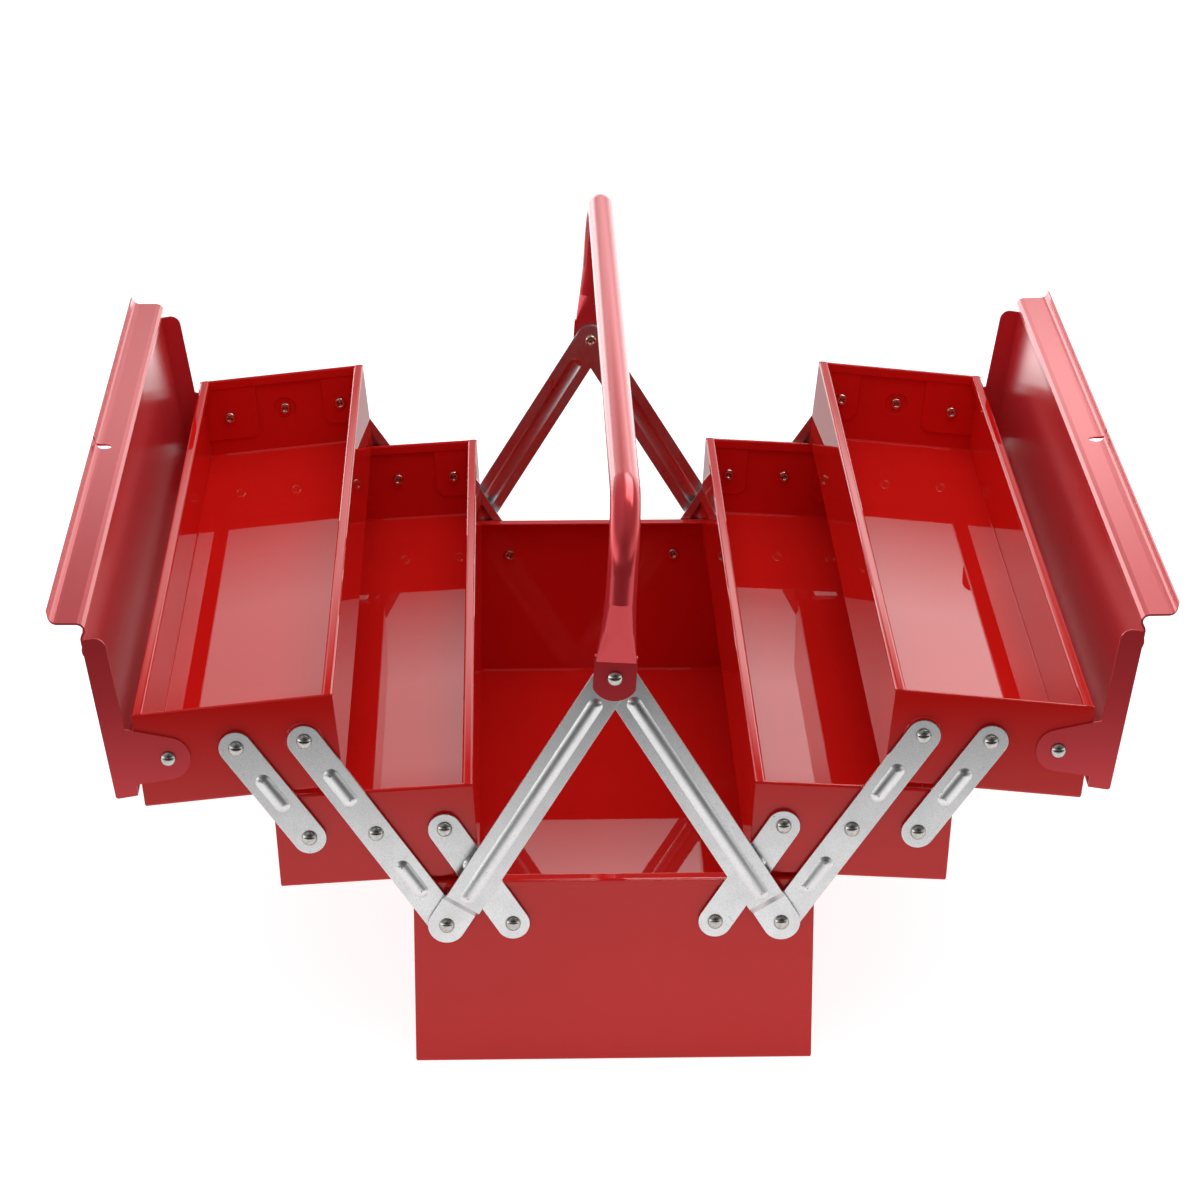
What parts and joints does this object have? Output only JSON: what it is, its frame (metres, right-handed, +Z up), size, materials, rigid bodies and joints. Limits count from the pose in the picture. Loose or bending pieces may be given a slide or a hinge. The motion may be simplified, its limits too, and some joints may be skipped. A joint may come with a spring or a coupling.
{
  "type": "cantilever tool box",
  "caption": "Folding steel tool box with stacked side trays that swing out on flat arms, hinged lids and a tubular carrying handle.",
  "frame": {"origin": "centre of the base's underside", "axes": "+Z up; Y along the trays and the grip; the trays open towards +X and -X"},
  "size_m": [0.5526, 0.578, 0.3093],
  "materials": {
    "red_lacquer": "gloss",
    "zinc_plate": "satin",
    "rivet_steel": "bright"
  },
  "bodies": {
    "frame": {"base_box": "red_lacquer", "strut_left_front": "zinc_plate", "strut_right_front": "zinc_plate", "strut_left_rear": "zinc_plate", "strut_right_rear": "zinc_plate", "base_rivets": "rivet_steel", "handle_rivets": "rivet_steel"},
    "handle": {"carry_handle": "red_lacquer"},
    "long_arms_left": {"long_arm_left_front": "zinc_plate", "long_arm_left_rear": "zinc_plate"},
    "lower_arms_left": {"lower_arm_left_front": "zinc_plate", "lower_arm_left_rear": "zinc_plate"},
    "middle_tray_left": {"middle_tray_left": "red_lacquer", "middle_tray_rivets_left": "rivet_steel"},
    "upper_arms_left": {"upper_arm_left_front": "zinc_plate", "upper_arm_left_rear": "zinc_plate"},
    "upper_tray_left": {"upper_tray_left": "red_lacquer", "upper_tray_rivets_left": "rivet_steel", "lid_rivets_left": "rivet_steel"},
    "lid_left": {"lid_left": "red_lacquer"},
    "long_arms_right": {"long_arm_right_front": "zinc_plate", "long_arm_right_rear": "zinc_plate"},
    "lower_arms_right": {"lower_arm_right_front": "zinc_plate", "lower_arm_right_rear": "zinc_plate"},
    "middle_tray_right": {"middle_tray_right": "red_lacquer", "middle_tray_rivets_right": "rivet_steel"},
    "upper_arms_right": {"upper_arm_right_front": "zinc_plate", "upper_arm_right_rear": "zinc_plate"},
    "upper_tray_right": {"upper_tray_right": "red_lacquer", "upper_tray_rivets_right": "rivet_steel", "lid_rivets_right": "rivet_steel"},
    "lid_right": {"lid_right": "red_lacquer"}
  },
  "joints": [
    {"name": "handle_swing", "type": "hinge", "parent": "frame", "child": "handle", "pos_m": [0, 0, 0.213], "axis": [0, 1, 0], "range_deg": [-92.4, 85.4]},
    {"name": "fold_left", "type": "hinge", "parent": "frame", "child": "long_arms_left", "pos_m": [-0.0835, 0, 0.0776], "axis": [0, 1, 0], "range_deg": [0, 67.81]},
    {"name": "middle_tray_turn_left", "type": "hinge", "parent": "long_arms_left", "child": "middle_tray_left", "pos_m": [-0.11789, 0, 0.12727], "axis": [0, 1, 0], "range_deg": [-65, 0]},
    {"name": "upper_tray_turn_left", "type": "hinge", "parent": "long_arms_left", "child": "upper_tray_left", "pos_m": [-0.15228, 0, 0.17693], "axis": [0, 1, 0], "range_deg": [-62.5, 0]},
    {"name": "lower_arms_swing_left", "type": "hinge", "parent": "frame", "child": "lower_arms_left", "pos_m": [-0.0505, 0, 0.0776], "axis": [0, 1, 0], "range_deg": [0, 67.5]},
    {"name": "upper_arms_swing_left", "type": "hinge", "parent": "middle_tray_left", "child": "upper_arms_left", "pos_m": [-0.15083, 0, 0.12531], "axis": [0, 1, 0], "range_deg": [0, 66]},
    {"name": "lid_hinge_left", "type": "hinge", "parent": "upper_tray_left", "child": "lid_left", "pos_m": [-0.21921, 0, 0.16799], "axis": [0, 1, 0], "range_deg": [0, 93.5]},
    {"name": "fold_right", "type": "hinge", "parent": "frame", "child": "long_arms_right", "pos_m": [0.0835, 0, 0.0776], "axis": [0, -1, 0], "range_deg": [0, 67.81]},
    {"name": "middle_tray_turn_right", "type": "hinge", "parent": "long_arms_right", "child": "middle_tray_right", "pos_m": [0.11789, 0, 0.12727], "axis": [0, -1, 0], "range_deg": [-65, 0]},
    {"name": "upper_tray_turn_right", "type": "hinge", "parent": "long_arms_right", "child": "upper_tray_right", "pos_m": [0.15228, 0, 0.17693], "axis": [0, -1, 0], "range_deg": [-62.5, 0]},
    {"name": "lower_arms_swing_right", "type": "hinge", "parent": "frame", "child": "lower_arms_right", "pos_m": [0.0505, 0, 0.0776], "axis": [0, -1, 0], "range_deg": [0, 67.5]},
    {"name": "upper_arms_swing_right", "type": "hinge", "parent": "middle_tray_right", "child": "upper_arms_right", "pos_m": [0.15083, 0, 0.12531], "axis": [0, -1, 0], "range_deg": [0, 66]},
    {"name": "lid_hinge_right", "type": "hinge", "parent": "upper_tray_right", "child": "lid_right", "pos_m": [0.21921, 0, 0.16799], "axis": [0, -1, 0], "range_deg": [0, 93.5]}
  ],
  "couplings": [
    {"joint": "middle_tray_turn_left", "follows": "fold_left", "ratio": -0.94986},
    {"joint": "upper_tray_turn_left", "follows": "fold_left", "ratio": -0.91152},
    {"joint": "lower_arms_swing_left", "follows": "fold_left", "ratio": 0.98528},
    {"joint": "upper_arms_swing_left", "follows": "fold_left", "ratio": 0.96093},
    {"joint": "middle_tray_turn_right", "follows": "fold_right", "ratio": -0.94986},
    {"joint": "upper_tray_turn_right", "follows": "fold_right", "ratio": -0.91152},
    {"joint": "lower_arms_swing_right", "follows": "fold_right", "ratio": 0.98528},
    {"joint": "upper_arms_swing_right", "follows": "fold_right", "ratio": 0.96093}
  ]
}
